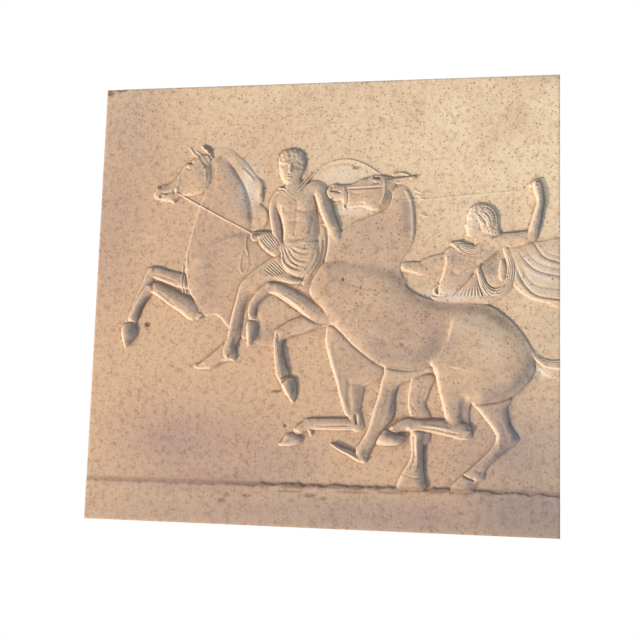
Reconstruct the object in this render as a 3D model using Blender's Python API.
"""Plaster relief frieze: one cast slab with two riders and their horses in low relief.

The slab hangs on a wall. Its flat back lies at y = 0 and its front faces -Y. X runs along
the frieze and Z up, both from the middle of the back. The frieze runs on past this length
of it and is cut square at both ends.

The carving is one surface. Each figure is laid on it as rounded forms, from the far legs to
the nearest body, and the surface is then closed with plain sides and a flat back. Places,
widths and heights of the carving are shares of the slab's height, in hundredths: across
from the left end, up from the lower edge, and out from the ground.
"""

import bmesh
import bpy
import numpy as np

SLAB_HEIGHT = 0.500
SLAB_LENGTH = 0.5232
GROUND_THICKNESS = 0.027
ARRIS = 0.0008  # worn rounding of the front edges
GRID_STEP = 0.0013  # spacing of the surface's points before it is thinned
FRONT_TRIANGLES = 9300
FLATNESS = 0.0002  # what lies this near to the ground is ground

SHARES = 100  # parts of the slab's height that the carving is given in
LEDGE_TOP = 9.0
LEDGE_HEIGHT = 0.3
OUTLINE_SOFTNESS = 0.45
STATION_SPACING = 0.5
FOLD_FADE = 0.15
STEP_FADE = 0.4
SETTLING_ROUNDS = 60
LEAST_LEAN = 0.02  # how far any face of the front must lean back from upright

# Depths of the carving: height at the outline, and further height of the crown.
FAINT = (0.15, 0.20)
LOW = (0.22, 0.40)
FAR = (0.38, 0.40)
MIDDLE = (0.45, 0.60)
RIDER = (0.70, 0.60)
CLOTH = (0.85, 0.55)
NEAR = (0.65, 0.45)
FRONT = (0.65, 1.00)

# A limb is (across, up, half width) along its middle. A mass is the width of its rounded
# border and (across, up) round its outline. A swell is (across, up), its half sizes, its
# rise and its turn in degrees. A fold is its half width, its rise and (across, up) along
# it. A pleat is a count of folds between a first and a last. A step is its rise, the reach
# of its soft and its hard side, and (across, up) along it with the soft side on the left.
BLOWN_CLOAK = (
    ("mass", FAINT, 1.0, (
        (49.6, 76.9), (51.8, 79.6), (55.2, 81.5), (59.5, 81.9), (63.2, 80.4), (66.8, 77.6), (60, 73),
        (53, 73))),
    ("fold", 0.35, 0.12, ((49.9, 77.3), (52, 79.4), (55.4, 81.2), (59.5, 81.6), (63.2, 80.1),
                          (66.5, 77.6))),
)
TAIL = (
    ("limb", LOW, ((98.4, 39.4, 1.5), (100.6, 36.8, 1.5), (103, 35.6, 1.6), (106, 35.2, 1.8))),
    ("pleat", 2, 0.3, -0.15, ((99.6, 38.2), (101.4, 36.8), (106, 36.2)), ((99, 37.4), (101, 35.8),
                                                                          (106, 34.6))),
)
LEADING_FAR_LEGS = (
    ("limb", FAR, ((21.5, 53.8, 2.1), (17, 55.05, 1.75), (13.6, 56, 1.35))),
    ("limb", FAR, ((13.4, 56, 1.3), (10.6, 50.2, 1.15), (9.3, 47.6, 1.0), (8.7, 45.9, 1.1))),
    ("limb", FAR, ((75.6, 33.4, 2.6), (75.2, 30, 2.35), (74.8, 26.5, 2.05), (75.4, 23, 1.95),
                   (74.9, 19, 1.45), (74.7, 15.6, 1.3), (73.9, 12.6, 1.7))),
    ("limb", FAR, ((73.4, 12.4, 1.6), (73.5, 9.8, 2.6))),
)
FOLLOWING_FAR_HIND = (
    ("limb", MIDDLE, ((91, 29, 3.8), (91.8, 25.5, 2.4), (93.2, 21, 2.2), (92.6, 18.8, 1.9),
                      (89.8, 15.9, 1.35), (87, 13.2, 1.5))),
    ("limb", MIDDLE, ((86.4, 12.6, 1.5), (84.6, 10.2, 2.0))),
)
LEADING_MANE = (
    ("limb", LOW, ((27.6, 83.8, 1.3), (31.4, 82.2, 1.7), (34.6, 78.8, 2.2), (36.8, 74.8, 2.3),
                   (37.4, 71, 2.1), (38, 67.8, 2.2), (37.4, 65.4, 1.6))),
    ("pleat", 3, 0.3, -0.1, ((31, 83), (35.6, 78), (38, 73), (38, 67)), ((30, 82.4), (34, 77.4),
                                                                         (36.4, 72.4), (37, 67))),
)
LEADING_HORSE = (
    ("mass", MIDDLE, 5.0, (
        (26.6, 82.9), (29.4, 82.6), (31.6, 79.9), (34, 76.4), (35.7, 72.6), (36.5, 68), (40, 62), (38, 52),
        (31.5, 44.8), (28.8, 46.5), (26.4, 46.6), (24.2, 49.4), (22.4, 52.2), (21.4, 57), (21.95, 62.5),
        (23.3, 68.6), (25.1, 74.3), (25.5, 79))),
    ("mass", MIDDLE, 5.0, (
        (32, 63), (40, 63), (50, 60), (58, 55), (57, 46), (53.6, 41.2), (50.5, 39.9), (46, 39.5),
        (38.5, 40.3),
        (31.8, 43.8), (28, 50))),
    ("swell", 43, 41.5, 13, 4.5, -0.32, 0),
    ("limb", NEAR, ((26.6, 48, 2.4), (23.4, 47.4, 2.3), (18.6, 50.1, 1.9), (14.4, 52.3, 1.4),
                    (13.4, 52.3, 1.2))),
    ("limb", NEAR, ((13, 52.2, 1.15), (11, 49.2, 0.85), (9.6, 46.2, 0.95), (9, 44.8, 1.0))),
    ("limb", NEAR, ((8.6, 43.2, 1.7), (8.3, 41.4, 1.5), (7.9, 39.4, 0.6))),
    ("step", 0.22, 3.0, 0.8, ((35, 63.8), (31, 63.1), (28, 62.2), (25, 60.8), (22.3, 58.2))),
)
LEADING_HIND = (
    ("mass", MIDDLE, 2.6, (
        (54.9, 45), (54, 41), (54.8, 37.8), (56.2, 33.8), (57.6, 28.8), (59.15, 24.7), (60.2, 22.2),
        (62.4, 21.2),
        (62.6, 24), (62.5, 27.6), (63.1, 31), (65.6, 32.2), (67.6, 34.3), (70, 40), (60, 47))),
    ("limb", FAR, ((61.4, 22.6, 1.3), (56, 22.6, 1.25), (50.9, 22.5, 1.25), (48.7, 20.9, 0.95))),
    ("limb", FAR, ((48.3, 19.8, 1.1), (46.4, 18.9, 1.2), (45.2, 18.1, 0.6))),
    ("fold", 0.55, -0.22, ((59.8, 32.2), (59.7, 29), (60.1, 26), (60.4, 24))),
)
FOLLOWING_FAR_FORELEG = (
    ("limb", MIDDLE, ((55.5, 46.4, 2.2), (50, 44.6, 1.95), (45.6, 42.9, 1.7), (44.1, 42.1, 1.5))),
    ("limb", MIDDLE, ((44, 42.1, 1.5), (43.5, 38.5, 0.95), (43.9, 34.8, 1.0), (44.9, 31.9, 1.1))),
    ("limb", MIDDLE, ((46, 31.2, 1.4), (46.4, 29.6, 1.5), (47.2, 27.9, 0.6))),
)
LEADING_HEAD = (
    ("mass", MIDDLE, 2.2, (
        (12.9, 74.5), (13.6, 76.2), (15.4, 76.4), (18.4, 77.7), (19.8, 80.3), (21.6, 82.2), (24.6, 83.4),
        (26.4, 82.4), (27.15, 78.2), (25.3, 75), (21.6, 74), (18.6, 73), (15.6, 72.8), (13.3, 73.6))),
    ("limb", NEAR, ((24, 85.3, 0.4), (25.6, 84.7, 0.8), (26.4, 83.2, 0.7))),
    ("limb", MIDDLE, ((21.6, 85.6, 0.35), (22.2, 84.2, 0.55), (24, 83.1, 0.8))),
    ("fold", 0.3, -0.3, ((14.9, 74.8), (16.3, 74.75), (17.8, 75))),
    ("swell", 23.3, 78.2, 3.4, 3.2, 0.25, 0),
    ("swell", 21.4, 80.9, 0.9, 0.6, 0.2, 0),
)
LEADING_RIDER = (
    ("limb", NEAR, ((46, 58, 3.6), (43.5, 57.2, 3.0), (40.6, 55.6, 2.7), (38, 54, 2.4), (36, 52.4, 1.9),
                    (34.75, 49.3, 1.25), (33.9, 45, 1.42), (33.2, 41.3, 1.35), (32.3, 37.8, 1.4))),
    ("limb", MIDDLE, ((32.4, 38.2, 1.5), (30, 36.6, 1.4), (27.4, 35.2, 0.9), (25.4, 34.7, 0.4))),
    ("limb", MIDDLE, ((53.4, 66, 0.9), (53.5, 61, 0.95), (51.8, 56.6, 0.85), (49.3, 53.4, 0.7))),
    ("mass", RIDER, 2.6, (
        (44.6, 77), (43.6, 75), (41, 73), (42.8, 69.2), (43.9, 65), (44.2, 60.5), (48, 58), (52, 60.5),
        (52.8, 66.2), (51.4, 71.2), (53.4, 75.6), (50.6, 76.8), (48.2, 76.2))),
    ("limb", RIDER, ((45.4, 78, 1.9), (46.1, 75.6, 1.8), (46.8, 73, 2.2))),
    ("fold", 0.5, -0.14, ((43.2, 70.4), (44.9, 69.5), (46.8, 70), (48.8, 69.6), (50.6, 70.2))),
    ("fold", 0.5, -0.12, ((47.1, 72.4), (46.9, 67.5), (46.4, 63.4))),
    ("mass", CLOTH, 2.0, (
        (43.9, 62.7), (43.9, 58.8), (45.4, 56.2), (48.2, 55.1), (51.1, 56.9), (52.6, 60.3), (51.8, 63.1),
        (48, 62.8))),
    ("pleat", 4, 0.35, -0.25, ((44.5, 61.9), (46.4, 57), (49, 56.8), (51.8, 60.4)),
     ((44.8, 62.2), (47.2, 60.8), (49.5, 60.7), (51.8, 61.9))),
    ("limb", CLOTH, ((40.8, 57.2, 1.4), (43.4, 56.6, 2.0), (46.4, 54.9, 1.2))),
    ("pleat", 3, 0.3, -0.25, ((40.2, 57.2), (43, 55.6), (45, 54.6)), ((42, 58.6), (43.6, 57),
                                                                      (45.6, 55.6))),
    ("limb", RIDER, ((42.5, 73.3, 1.6), (41.75, 69.2, 1.1), (42.8, 65, 1.15), (42.9, 62.6, 1.2))),
    ("limb", RIDER, ((42.4, 62.2, 1.8), (40.6, 63.2, 1.8), (39, 64, 1.0), (37.3, 64.3, 0.9))),
    ("pleat", 3, 0.3, -0.22, ((39, 64), (40.2, 62.6), (41.9, 60.8)), ((41.2, 64.6), (42.3, 63.2),
                                                                      (43.4, 61.9))),
    ("limb", RIDER, ((51.8, 75.1, 1.6), (53, 71.2, 1.5), (54.4, 67.3, 1.4), (56.5, 63.5, 1.2))),
)
LEADING_RIDER_HEAD = (
    ("limb", CLOTH, ((41.6, 74.1, 0.45), (44.8, 73.9, 0.45), (46.3, 72.9, 0.45))),
    ("limb", CLOTH, ((46.2, 73, 0.45), (47.8, 76, 0.5), (50, 78.8, 0.35))),
    ("mass", RIDER, 2.4, (
        (41.9, 81.6), (43.6, 84.2), (46.4, 84.4), (48.4, 82.3), (48.2, 79), (46.1, 76.2), (44.2, 76.2),
        (42.3, 79))),
    ("fold", 0.3, -0.15, ((42.3, 81.2), (44.4, 82.2), (46.2, 81), (46.8, 78.8))),
    ("limb", RIDER, ((43.9, 80.8, 0.4), (43.8, 79.5, 0.5))),
)
FOLLOWING_RIDER_LEG = (
    ("mass", MIDDLE, 2.2, (
        (68.2, 37), (66.85, 32), (66, 28), (64.8, 24), (63.5, 20), (65.4, 18.4), (68, 22.3), (69.5, 25),
        (69.7, 28.5), (71.2, 31.6), (74.6, 33.2), (78.4, 34.8), (78, 37))),
    ("limb", MIDDLE, ((64.8, 20, 1.5), (63.4, 17, 1.5), (62.4, 16.2, 1.2), (59.8, 16.8, 0.7),
                      (56.8, 18.1, 0.35))),
)
FOLLOWING_RIDER = (
    ("mass", LOW, 2.2, (
        (91, 62), (96, 62.8), (101, 62.75), (107, 62.6), (107, 49.6), (101, 49.7), (98, 51), (94.5, 53.8))),
    ("fold", 0.5, -0.25, ((99, 62.2), (101.5, 59.4), (103.2, 58.4), (107, 57.7))),
    ("fold", 0.5, -0.25, ((96.4, 60.6), (98, 57.4), (101.6, 55.9), (107, 55.3))),
    ("fold", 0.5, -0.3, ((95.2, 59), (97, 54.4), (100, 51.4), (107, 50.4))),
    ("limb", LOW, ((81, 58.7, 1.8), (77, 57.7, 1.75), (73.6, 57.2, 1.3), (71.5, 57.4, 1.0))),
    ("mass", MIDDLE, 2.5, (
        (80.2, 60.2), (85, 61.4), (90, 63), (92, 64.4), (94, 63), (90.5, 58.3), (87, 56.4), (83, 52.2),
        (79, 51.2), (79.6, 55.5))),
    ("limb", MIDDLE, ((88.2, 66.5, 2.0), (87.6, 63.6, 1.7), (86.6, 60, 1.9))),
    ("mass", LOW, 1.5, (
        (87.1, 57.4), (84.4, 53.6), (80.6, 51), (77.4, 50.5), (79, 49.2), (89, 49), (91.8, 50.6),
        (88.4, 53.6))),
    ("pleat", 5, 0.35, -0.2, ((86.8, 56.6), (82.4, 51.6), (79.8, 50.3)), ((87.2, 56.2), (88, 52),
                                                                          (88.8, 50.4))),
    ("limb", MIDDLE, ((93, 61.4, 0.6), (94.6, 56, 0.7), (93.2, 52.4, 0.75), (90, 51.8, 0.7),
                      (88, 55, 0.5))),
    ("limb", MIDDLE, ((82.6, 61.9, 0.9), (85, 61.2, 1.1), (88, 61.8, 1.2), (90.2, 63.6, 0.9))),
    ("pleat", 2, 0.3, -0.2, ((83, 62.2), (86, 61.4), (89.4, 63.7)), ((83.4, 61.2), (86, 60.6),
                                                                     (89.4, 62.6))),
    ("limb", MIDDLE, ((90.6, 61.6, 1.9), (94.6, 63.1, 1.55), (98.3, 63.7, 1.35))),
    ("limb", MIDDLE, ((98.4, 63.8, 1.2), (99.5, 67.4, 0.88), (100.35, 71.6, 0.62), (99.7, 74.9, 0.95))),
)
FOLLOWING_RIDER_HEAD = (
    ("mass", MIDDLE, 2.4, (
        (84.4, 68.6), (85.4, 70.6), (87.8, 71.25), (90.4, 70.4), (91.9, 68.2), (91.8, 65.4), (88.6, 64.6),
        (86.4, 63.7), (84.8, 64.4), (84.1, 66.2))),
    ("fold", 0.3, -0.15, ((84.8, 69.2), (87.6, 68.6), (88.8, 66.2), (89.4, 65))),
)
FOLLOWING_HORSE = (
    ("mass", FRONT, 6.0, (
        (57, 65.2), (60.5, 67.6), (64.5, 69), (67.5, 70.5), (68.4, 74.4), (70.6, 75.5), (72.6, 73),
        (73.5, 68),
        (73, 62.6), (71.3, 59.8), (70.25, 57), (71.5, 53.4), (66, 46), (58, 43.6), (54.3, 46), (50.6, 51),
        (51.3, 55), (53.5, 58.5), (54.3, 65.2))),
    ("mass", FRONT, 6.0, (
        (54, 47), (56.4, 43.8), (60, 40.2), (63.2, 37.6), (66.5, 35.5), (72, 34.5), (77.6, 35.4), (83, 38),
        (86.8, 49.3), (80, 49.35), (75.2, 50.6), (72, 52.6), (68, 58), (58, 56))),
    ("mass", FRONT, 6.0, (
        (77, 47), (77.6, 36), (79.2, 30.6), (81, 26.4), (85.6, 26.4), (88, 27.6), (94, 28.95), (97, 31.2),
        (99.1, 34.8), (98.3, 40.2), (95.2, 44.6), (90.8, 48.2), (86.8, 49.3), (81, 49.3))),
    ("limb", NEAR, ((58, 48, 2.6), (55, 46.9, 2.6), (52, 47.3, 2.35), (47.5, 49.9, 2.0),
                    (43, 52.3, 1.65), (41.5, 52.5, 1.4))),
    ("limb", NEAR, ((41.4, 52.6, 1.35), (38.5, 50.3, 1.0), (37.2, 47.2, 0.92), (37.7, 45.4, 1.0))),
    ("limb", NEAR, ((37.6, 44, 1.45), (37.4, 42.2, 1.4), (36.9, 40.3, 0.6))),
    ("limb", MIDDLE, ((82.4, 30, 2.8), (83.2, 25.4, 2.3), (84, 21.9, 1.9))),
    ("limb", NEAR, ((84, 21.9, 1.8), (80.4, 22.5, 1.6), (75.6, 23, 1.2), (71.8, 22.6, 1.2),
                    (69.4, 21.4, 0.9))),
    ("limb", NEAR, ((70.6, 19.9, 1.3), (68.6, 19.8, 1.4), (67, 19.3, 0.8))),
    ("step", 0.4, 6.0, 0.5, ((82.6, 47.6), (81.9, 43.4), (80.6, 39.5), (77.9, 36.4), (78.8, 32.5))),
    ("step", 0.2, 3.0, 0.6, ((70, 56.4), (63.4, 57.5), (56, 58.4), (53.6, 57.2))),
    ("step", 0.22, 2.0, 0.7, ((56, 44.9), (59.6, 46), (60.4, 49.5))),
)
FOLLOWING_HEAD = (
    ("mass", MIDDLE, 2.0, (
        (53.5, 74.3), (55.4, 76.3), (58, 75.8), (62, 77.4), (66.6, 77.8), (69.2, 76.6), (68.1, 73),
        (65.3, 70),
        (61.8, 70.8), (58.2, 70.9), (56, 72.6), (54, 73.1))),
    ("limb", MIDDLE, ((68.2, 76.6, 0.8), (70.6, 76.7, 0.75), (73.3, 77.4, 0.35))),
    ("limb", FAINT, ((57.85, 74.9, 0.35), (57.85, 70.9, 0.35))),
    ("fold", 0.3, -0.3, ((54.2, 74.4), (55.4, 74.6), (57, 74.1))),
    ("swell", 64, 73.6, 2.6, 2.2, 0.2, 0),
    ("swell", 64, 76.6, 0.8, 0.5, 0.2, 0),
)
CORDS = (
    (0.25, 0.22, ((18.9, 74.4), (30, 68.35), (37, 64.7))),
    (0.25, 0.12, ((35.4, 64.6), (35.3, 61), (36.3, 58.2), (35.2, 55.7), (34.4, 57.6), (35, 60.6))),
)
GROUND_TO_FRONT = (
    BLOWN_CLOAK, TAIL, LEADING_FAR_LEGS, FOLLOWING_FAR_HIND, LEADING_MANE, LEADING_HORSE, LEADING_HIND,
    FOLLOWING_FAR_FORELEG, LEADING_HEAD, LEADING_RIDER, LEADING_RIDER_HEAD,
    FOLLOWING_RIDER_LEG, FOLLOWING_RIDER, FOLLOWING_RIDER_HEAD, FOLLOWING_HORSE,
    FOLLOWING_HEAD,
)

PLASTER_COLOUR = (0.60, 0.42, 0.29, 1.0)
PLASTER_ROUGHNESS = 0.85


def curve(stations, closed=False):
    """Return points along a smooth curve through the stations, with every column carried along."""
    rows = np.array(stations, float)
    if closed:
        rows = np.vstack((rows[-1], rows, rows[0], rows[1]))
    else:
        rows = np.vstack((2 * rows[0] - rows[1], rows, 2 * rows[-1] - rows[-2]))
    points = []
    for before, start, end, after in zip(rows, rows[1:], rows[2:], rows[3:]):
        count = max(1, round(np.hypot(*(end - start)[:2]) / STATION_SPACING))
        t = np.arange(count)[:, None] / count
        bend = 2 * before - 5 * start + 4 * end - after + t * (3 * (start - end) + after - before)
        points.append(start + 0.5 * t * (end - before + t * bend))
    points.append(rows[-2:-1])
    return np.vstack(points)


def ramp(value, low, high):
    """Rise smoothly from 0 at low to 1 at high."""
    t = np.clip((value - low) / (high - low), 0, 1)
    return t * t * (3 - 2 * t)


class Depth:
    """One figure's heights over the slab's front, and how far each point is covered by it."""

    def __init__(self, across, up):
        self.across = across
        self.up = up
        self.height = np.zeros((len(up), len(across)))
        self.cover = np.zeros_like(self.height)

    def near(self, path, reach):
        """Return the window within reach of the path, with distance, place along it and side of it."""
        low = path[:, :2].min(axis=0) - reach
        high = path[:, :2].max(axis=0) + reach
        columns = slice(*np.searchsorted(self.across, (low[0], high[0])))
        rows = slice(*np.searchsorted(self.up, (low[1], high[1])))
        xs = self.across[None, columns]
        zs = self.up[rows, None]
        distance = np.full((zs.shape[0], xs.shape[1]), np.inf)
        along = np.zeros_like(distance)
        side = np.ones_like(distance)
        for index, (start, end) in enumerate(zip(path[:, :2], path[1:, :2])):
            run_x, run_z = end - start
            to_x = xs - start[0]
            to_z = zs - start[1]
            share = np.clip((to_x * run_x + to_z * run_z) / (run_x**2 + run_z**2), 0, 1)
            gap = np.hypot(to_x - share * run_x, to_z - share * run_z)
            closer = gap < distance
            distance[closer] = gap[closer]
            along[closer] = (index + share)[closer]
            side[closer] = np.sign(run_x * to_z - run_z * to_x)[closer]
        return (rows, columns), distance, along, side

    def join(self, window, height, cover):
        """Blend a form into those already in this depth, with a small fillet where they meet."""
        old = self.height[window]
        fillet = 0.1
        both = 0.5 * (old + height + np.hypot(old - height, fillet) - fillet)
        self.height[window] = np.where(self.cover[window] > 0, both * cover + old * (1 - cover), height)
        self.cover[window] = np.maximum(self.cover[window], cover)

    def limb(self, depth, stations):
        """A round form along a spine."""
        edge, crown = depth
        path = curve(stations)
        half_widths = path[:, 2]
        window, distance, along, _ = self.near(path, half_widths.max() + OUTLINE_SOFTNESS)
        half = np.interp(along, np.arange(len(path)), half_widths)
        round_off = np.sqrt(1 - np.clip(distance / half, 0, 1) ** 2)
        cover = ramp(half - distance, -OUTLINE_SOFTNESS / 2, OUTLINE_SOFTNESS / 2)
        self.join(window, edge + crown * round_off, cover)

    def mass(self, depth, border, outline):
        """A broad form that rounds up from its outline over the width of its border."""
        edge, crown = depth
        path = curve(outline, closed=True)
        window, distance, _, _ = self.near(path, OUTLINE_SOFTNESS)
        rows, columns = window
        inside = np.zeros(distance.shape, bool)
        for start, end in zip(path, path[1:]):
            low, high = sorted((tuple(start), tuple(end)), key=lambda point: point[1])
            crossed = slice(*np.searchsorted(self.up[rows], (low[1], high[1])))
            if crossed.stop > crossed.start:
                slope = (high[0] - low[0]) / (high[1] - low[1])
                cut = low[0] + slope * (self.up[rows][crossed] - low[1])
                inside[crossed] ^= self.across[None, columns] > cut[:, None]
        distance = np.where(inside, distance, -distance)
        share = np.clip(distance / border, 0, 1)
        cover = ramp(distance, -OUTLINE_SOFTNESS / 2, OUTLINE_SOFTNESS / 2)
        self.join(window, edge + crown * np.sqrt(share * (2 - share)), cover)

    def swell(self, across, up, half_across, half_up, rise, turn):
        """A soft bump, or a hollow where the rise is negative."""
        angle = np.radians(turn)
        to_x = self.across[None, :] - across
        to_z = self.up[:, None] - up
        u = (to_x * np.cos(angle) + to_z * np.sin(angle)) / half_across
        v = (to_z * np.cos(angle) - to_x * np.sin(angle)) / half_up
        self.height += rise * np.exp(-(u**2) - v**2)

    def fold(self, half_width, rise, points):
        """A ridge, or a groove where the rise is negative, that fades at its ends."""
        path = curve(points)
        window, distance, along, _ = self.near(path, 3 * half_width)
        share = along / (len(path) - 1)
        ends = ramp(share, 0, FOLD_FADE) * ramp(1 - share, 0, FOLD_FADE)
        self.height[window] += rise * ends * np.exp(-((distance / half_width) ** 2))

    def pleat(self, count, half_width, rise, first, last):
        """Folds spread evenly from the first line to the last."""
        for share in np.linspace(0, 1, count):
            self.fold(half_width, rise, (1 - share) * np.array(first) + share * np.array(last))

    def step(self, rise, soft, hard, points):
        """A raised line that falls away softly on its left and quickly on its right."""
        path = curve(points)
        window, distance, along, side = self.near(path, 2.4 * soft)
        share = along / (len(path) - 1)
        ends = ramp(share, 0, STEP_FADE) * ramp(1 - share, 0, STEP_FADE)
        reach = np.where(side > 0, soft, hard)
        self.height[window] += rise * ends * np.exp(-((distance / reach) ** 2))


FORMS = {"limb": Depth.limb, "mass": Depth.mass, "swell": Depth.swell, "fold": Depth.fold,
         "pleat": Depth.pleat, "step": Depth.step}


def carved(across, up):
    """Return the carving's height above the ground, with every figure laid over those behind it."""
    ledge = ramp(LEDGE_TOP - up, 0, OUTLINE_SOFTNESS) * LEDGE_HEIGHT
    height = np.repeat(ledge[:, None], len(across), axis=1)
    for figure in GROUND_TO_FRONT:
        depth = Depth(across, up)
        for form, *sizes in figure:
            FORMS[form](depth, *sizes)
        height += depth.cover * (depth.height - height)
    cords = Depth(across, up)
    for cord in CORDS:
        cords.fold(*cord)
    return height + cords.height


def carved_front():
    """Return the slab's front as a fine grid pushed out by the carving, with its rim worn back."""
    bpy.ops.mesh.primitive_grid_add(
        x_subdivisions=round(SLAB_LENGTH / GRID_STEP), y_subdivisions=round(SLAB_HEIGHT / GRID_STEP), size=1)
    front = bpy.context.object
    places = np.empty(3 * len(front.data.vertices))
    front.data.vertices.foreach_get("co", places)
    places = places.reshape(-1, 3) * (SLAB_LENGTH, SLAB_HEIGHT, 1)
    share = SLAB_HEIGHT / SHARES
    across = np.unique(places[:, 0])
    up = np.unique(places[:, 1])
    height = carved((across + SLAB_LENGTH / 2) / share, (up + SLAB_HEIGHT / 2) / share) * share
    rim = np.ones(height.shape, bool)
    rim[1:-1, 1:-1] = False
    height[rim] -= ARRIS
    places = np.column_stack((places[:, 0], -GROUND_THICKNESS - height.ravel(), places[:, 1]))
    front.data.vertices.foreach_set("co", places.ravel())
    front.data.update()
    return front


def thinned(front):
    """Return the front's mesh with only as many triangles as the slab may have."""
    thinning = front.modifiers.new("Thinning", "DECIMATE")
    thinning.ratio = FRONT_TRIANGLES / (2 * len(front.data.polygons))
    mesh = bpy.data.meshes.new_from_object(front.evaluated_get(bpy.context.evaluated_depsgraph_get()))
    bpy.data.objects.remove(front)
    return mesh


def settle(solid):
    """Draw in the few points where thinning tipped a face of the front past upright."""
    for _ in range(SETTLING_ROUNDS):
        solid.normal_update()
        tipped = [face for face in solid.faces if face.normal.y > -LEAST_LEAN]
        if not tipped:
            return
        points = {vertex for face in tipped for vertex in face.verts if not vertex.is_boundary}
        bmesh.ops.smooth_vert(
            solid, verts=list(points), factor=0.5, use_axis_x=True, use_axis_y=True, use_axis_z=True)


def close_behind(mesh):
    """Give the carved front square ends, a plain top and bottom, and a flat back."""
    half = (SLAB_LENGTH / 2, 0, SLAB_HEIGHT / 2)
    solid = bmesh.new()
    solid.from_mesh(mesh)
    for vertex in (vertex for vertex in solid.verts if vertex.is_boundary):
        for axis in (0, 2):
            if half[axis] - abs(vertex.co[axis]) < GRID_STEP / 2:
                vertex.co[axis] = np.copysign(half[axis], vertex.co[axis])
    for vertex in solid.verts:
        if abs(vertex.co.y + GROUND_THICKNESS) < FLATNESS:
            vertex.co.y = -GROUND_THICKNESS
    settle(solid)
    rim = [edge for edge in solid.edges if edge.is_boundary]
    walls = bmesh.ops.extrude_edge_only(solid, edges=rim)["geom"]
    for vertex in (part for part in walls if isinstance(part, bmesh.types.BMVert)):
        vertex.co.y = 0
    back_rim = [edge for edge in solid.edges if edge.is_boundary]
    back = bmesh.ops.contextual_create(solid, geom=back_rim)["faces"]
    bmesh.ops.poke(solid, faces=back, offset=0, center_mode="MEAN")
    bmesh.ops.triangulate(solid, faces=[face for face in solid.faces if len(face.verts) > 3])
    bmesh.ops.recalc_face_normals(solid, faces=solid.faces)
    solid.to_mesh(mesh)
    solid.free()


def plaster():
    """Return the slab's material: warm unpainted plaster."""
    material = bpy.data.materials.new("plaster")
    material.use_nodes = True
    surface = material.node_tree.nodes["Principled BSDF"]
    surface.inputs["Base Color"].default_value = PLASTER_COLOUR
    surface.inputs["Roughness"].default_value = PLASTER_ROUGHNESS
    surface.inputs["Metallic"].default_value = 0.0
    material.diffuse_color = PLASTER_COLOUR
    return material


def main():
    """Build the frieze in a collection of its own."""
    for old in list(bpy.data.objects):
        bpy.data.objects.remove(old)
    mesh = thinned(carved_front())
    close_behind(mesh)
    mesh.name = "relief_slab"
    mesh.materials.append(plaster())
    frieze = bpy.data.collections.new("plaster_relief_frieze")
    bpy.context.scene.collection.children.link(frieze)
    frieze.objects.link(bpy.data.objects.new("relief_slab", mesh))


main()
